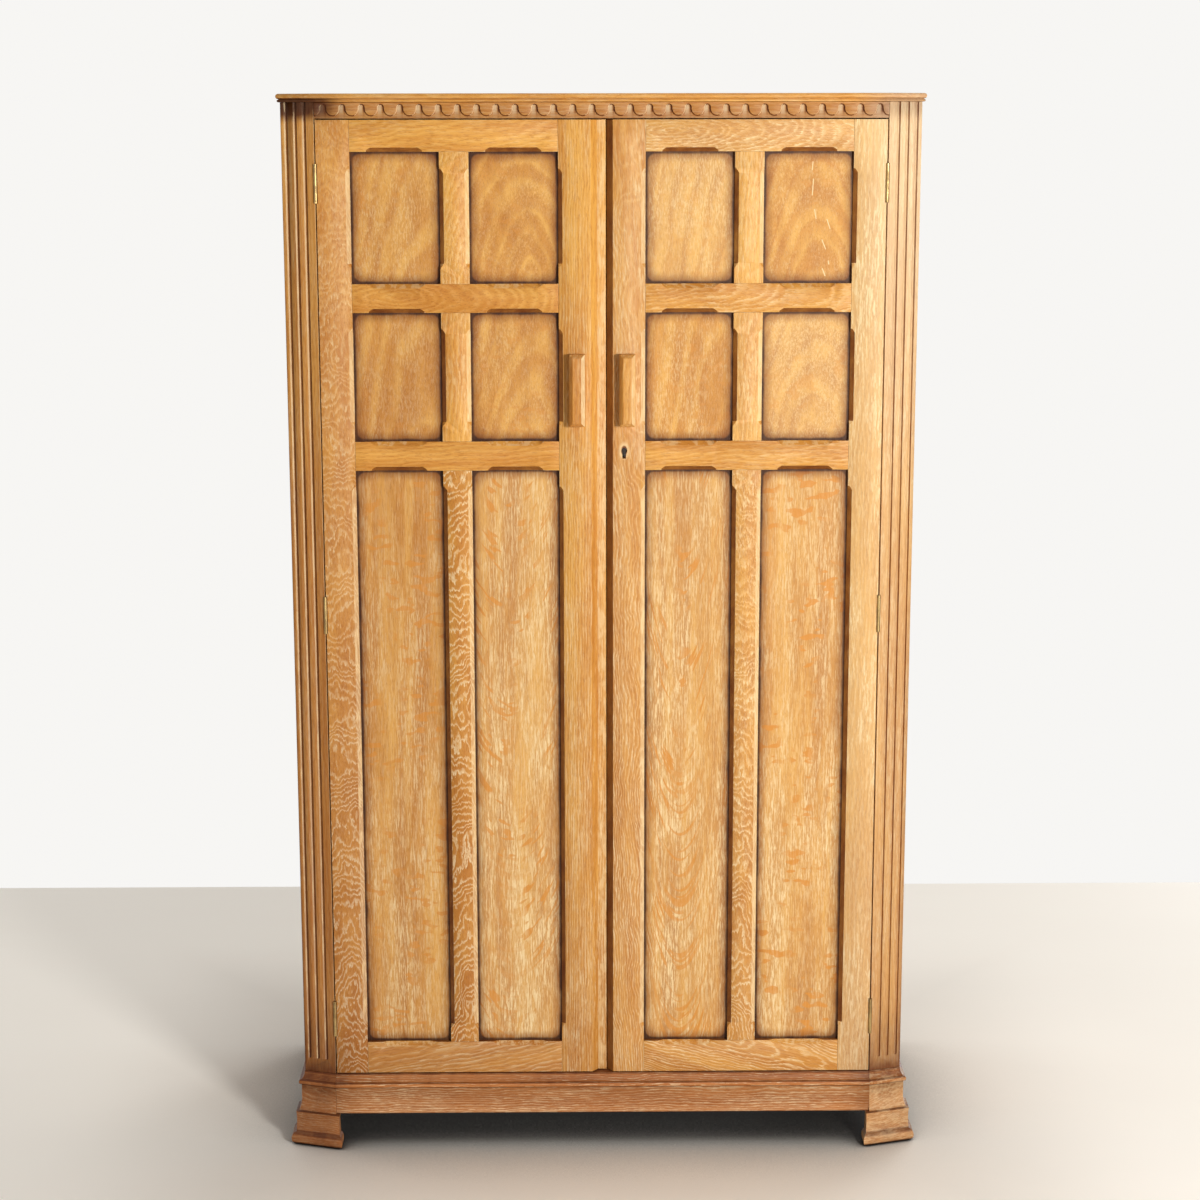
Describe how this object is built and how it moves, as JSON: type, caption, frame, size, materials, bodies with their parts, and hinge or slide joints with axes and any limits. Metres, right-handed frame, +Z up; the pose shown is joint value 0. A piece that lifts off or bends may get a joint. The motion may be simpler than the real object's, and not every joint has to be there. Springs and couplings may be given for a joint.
{
  "type": "wardrobe",
  "caption": "Oak wardrobe with panelled double doors, fluted splayed posts, a carved frieze, hat shelf, hanging rail, lock and bracket feet.",
  "frame": {"origin": "on the floor, midway across the width and midway through the depth", "axes": "+Z up, the doors face -Y, +X to the right of a person who faces the doors"},
  "size_m": [1.106, 0.51, 1.8251],
  "materials": {
    "frame_oak": "limed and waxed oak",
    "panel_oak": "waxed oak veneer with shaded edges",
    "plinth_oak": "stained and limed oak",
    "carcase_wood": "plain sealed plywood and board",
    "brass": "dull brass",
    "steel": "plain steel"
  },
  "bodies": {
    "carcase": {"back_panel": "carcase_wood", "bottom_board": "carcase_wood", "frieze_rail": "frame_oak", "hanging_rail": "steel", "hat_shelf": "carcase_wood", "left_bottom_post_leaf": "brass", "left_corner_post": "frame_oak", "left_front_foot": "plinth_oak", "left_middle_post_leaf": "brass", "left_plinth_rail": "plinth_oak", "left_rail_socket": "brass", "left_rear_foot": "plinth_oak", "left_side_panel": "carcase_wood", "left_top_post_leaf": "brass", "plinth_front_rail": "plinth_oak", "right_bottom_post_leaf": "brass", "right_corner_post": "frame_oak", "right_front_foot": "plinth_oak", "right_middle_post_leaf": "brass", "right_plinth_rail": "plinth_oak", "right_rail_socket": "brass", "right_rear_foot": "plinth_oak", "right_side_panel": "carcase_wood", "right_top_post_leaf": "brass", "top_board": "frame_oak"},
    "left_door": {"left_hinge_stile": "frame_oak", "left_meeting_stile": "frame_oak", "left_top_rail": "frame_oak", "left_upper_cross_rail": "frame_oak", "left_lower_cross_rail": "frame_oak", "left_bottom_rail": "frame_oak", "left_upper_muntin": "frame_oak", "left_middle_muntin": "frame_oak", "left_lower_muntin": "frame_oak", "left_upper_panel": "panel_oak", "left_middle_panel": "panel_oak", "left_lower_panel": "panel_oak", "left_handle": "frame_oak", "left_top_door_leaf": "brass", "left_middle_door_leaf": "brass", "left_bottom_door_leaf": "brass"},
    "right_door": {"right_hinge_stile": "frame_oak", "right_meeting_stile": "frame_oak", "right_top_rail": "frame_oak", "right_upper_cross_rail": "frame_oak", "right_lower_cross_rail": "frame_oak", "right_bottom_rail": "frame_oak", "right_upper_muntin": "frame_oak", "right_middle_muntin": "frame_oak", "right_lower_muntin": "frame_oak", "right_upper_panel": "panel_oak", "right_middle_panel": "panel_oak", "right_lower_panel": "panel_oak", "right_handle": "frame_oak", "right_top_door_leaf": "brass", "right_middle_door_leaf": "brass", "right_bottom_door_leaf": "brass", "lock_case": "steel"},
    "lock_bolt": {"lock_bolt": "brass"},
    "left_door_bolt": {"left_door_bolt": "brass"}
  },
  "joints": [
    {"name": "left_door_hinge", "type": "hinge", "parent": "carcase", "child": "left_door", "pos_m": [-0.4705, -0.22581, 0.95725], "axis": [0, 0, -1], "range_deg": [0, 115]},
    {"name": "right_door_hinge", "type": "hinge", "parent": "carcase", "child": "right_door", "pos_m": [0.4705, -0.22581, 0.95725], "axis": [0, 0, 1], "range_deg": [0, 115]},
    {"name": "lock_bolt_slide", "type": "slide", "parent": "right_door", "child": "lock_bolt", "axis": [-1, 0, 0], "range_m": [0, 0.012]},
    {"name": "left_door_bolt_slide", "type": "slide", "parent": "left_door", "child": "left_door_bolt", "axis": [0, 0, 1], "range_m": [0, 0.012]}
  ]
}
